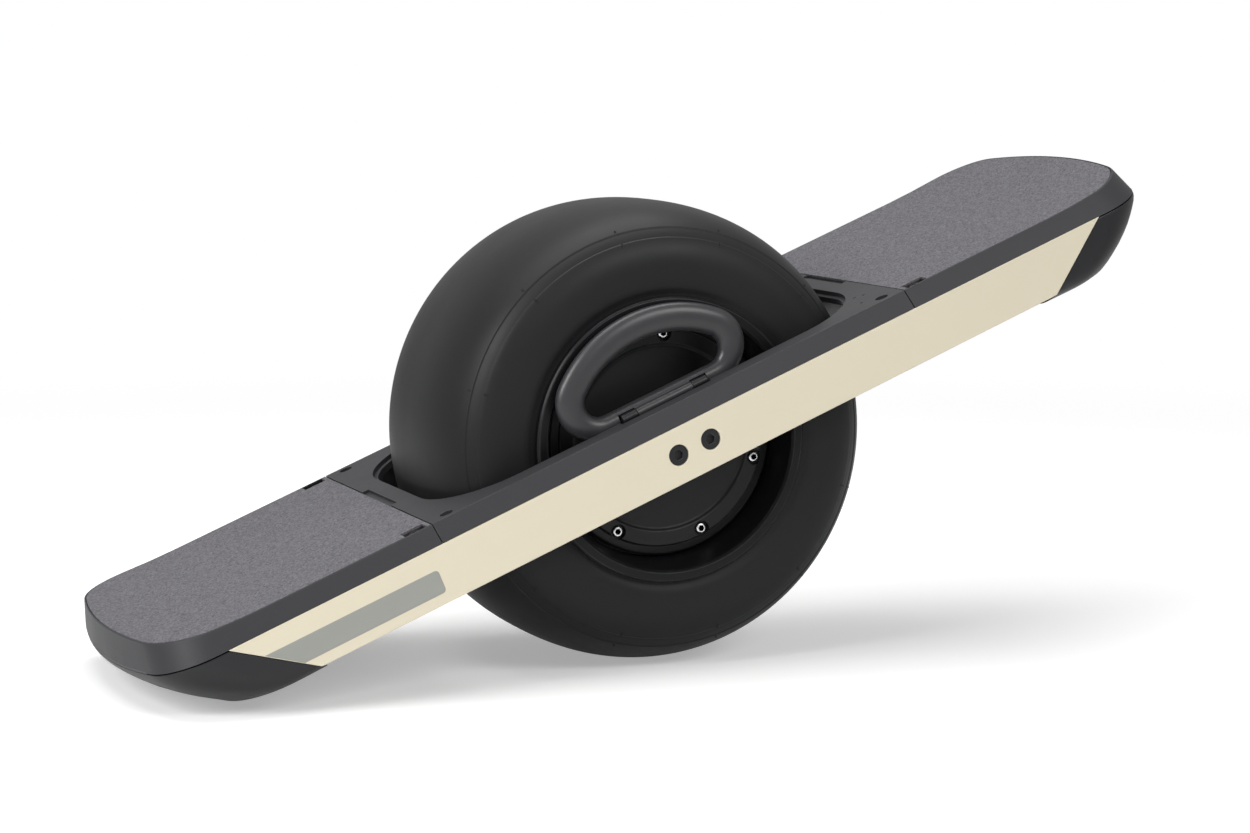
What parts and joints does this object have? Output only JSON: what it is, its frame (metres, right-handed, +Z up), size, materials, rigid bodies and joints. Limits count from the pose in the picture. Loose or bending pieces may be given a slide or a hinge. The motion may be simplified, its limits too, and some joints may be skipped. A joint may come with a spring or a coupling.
{
  "type": "one-wheeled electric skateboard",
  "caption": "Self-balancing board with a wide hub-motor wheel in its middle, a grip-taped footpad at each end, cream rail guards and a fold-out carry handle.",
  "frame": {"origin": "centre of the parked board's base on the floor: the tail's underside edge and the tyre both stand on Z = 0", "axes": "+X from the tail on the floor to the raised nose, level with the floor; +Y across the board, away from the side with the carry handle; +Z up. The board itself is tipped up about its axle, nose high"},
  "size_m": [0.6341, 0.2228, 0.2986],
  "materials": {
    "tyre": "satin black rubber",
    "rim_black": "satin black coated aluminium",
    "hub_black": "matt black coated aluminium",
    "bright_steel": "bright zinc plated steel",
    "dark_steel": "black oxide steel",
    "bare_steel": "machined steel",
    "magnet": "nickel plated magnet",
    "copper": "enamelled copper winding",
    "bare_aluminium": "machined aluminium",
    "rail_metal": "dark anodised aluminium",
    "guard_cream": "satin cream moulded plastic",
    "trim_dark": "fine textured dark grey plastic",
    "bumper_dark": "satin dark grey plastic",
    "lens_smoke": "smoked clear plastic",
    "board_green": "green circuit board",
    "pad_core": "black stained laminate",
    "grip_tape": "coarse grey grip tape",
    "sensor_film": "printed pressure film",
    "housing_black": "black moulded plastic",
    "housing_metal": "black anodised aluminium",
    "cell_wrap": "shrink wrapped battery cell",
    "rubber_black": "black rubber",
    "lead_orange": "orange insulated lead",
    "lead_red": "red insulated lead",
    "button_grey": "matt dark plastic",
    "handle_dark": "satin dark grey plastic"
  },
  "bodies": {
    "board": {"axle": "bare_steel", "stator_core": "bare_steel", "stator_coils": "copper", "axle_spacers": "bare_aluminium", "axle_block_near": "bare_aluminium", "axle_block_far": "bare_aluminium", "axle_bolts_near": "dark_steel", "axle_bolts_far": "dark_steel", "rail_near": "rail_metal", "rail_far": "rail_metal", "rail_guard_near": "guard_cream", "rail_guard_far": "guard_cream", "wheel_well_surround": "trim_dark", "surround_screws": "dark_steel", "upper_bumper_front": "trim_dark", "upper_bumper_rear": "trim_dark", "lower_bumper_front": "bumper_dark", "lower_bumper_rear": "bumper_dark", "bumper_screws": "dark_steel", "light_lens_front": "lens_smoke", "light_lens_rear": "lens_smoke", "light_board_front": "board_green", "light_board_rear": "board_green", "footpad_front": "pad_core", "footpad_rear": "pad_core", "grip_tape_front": "grip_tape", "grip_tape_rear": "grip_tape", "foot_sensor": "sensor_film", "footpad_screws": "dark_steel", "battery_housing": "housing_metal", "battery_lid": "housing_black", "battery_cells": "cell_wrap", "battery_board": "board_green", "controller_housing": "housing_metal", "controller_lid": "housing_black", "controller_board": "board_green", "heat_spreader": "bare_aluminium", "housing_screws": "dark_steel", "motor_lead": "lead_orange", "battery_lead": "lead_red", "button_bezel": "housing_black", "button_spring": "bright_steel", "charge_port": "housing_black", "hinge_bracket": "dark_steel", "hinge_pin": "bright_steel", "bracket_screws": "dark_steel"},
    "wheel": {"tyre": "tyre", "rim_shell": "rim_black", "hub_cover_near": "hub_black", "hub_cover_far": "hub_black", "cover_screws_near": "bright_steel", "cover_screws_far": "bright_steel", "rotor_yoke": "bare_steel", "rotor_magnets": "magnet", "wheel_bearing_near": "bare_steel", "wheel_bearing_far": "bare_steel", "valve_stem": "rubber_black", "valve_cap": "rubber_black"},
    "handle": {"carry_handle": "handle_dark"},
    "button": {"power_button": "button_grey"}
  },
  "joints": [
    {"name": "wheel_spin", "type": "hinge", "parent": "board", "child": "wheel", "pos_m": [0.00618, 0, 0.1385], "axis": [0, 1, 0], "continuous": true},
    {"name": "handle_fold", "type": "hinge", "parent": "board", "child": "handle", "pos_m": [-0.00462, -0.0903, 0.16433], "axis": [0.9225, 0, 0.386], "range_deg": [0, 90]},
    {"name": "power_button_press", "type": "slide", "parent": "board", "child": "button", "axis": [0, -1, 0], "range_m": [0, 0.0015], "stiffness_N_per_m": 800, "springref_m": -0.001, "deforming": ["button_spring"]}
  ]
}
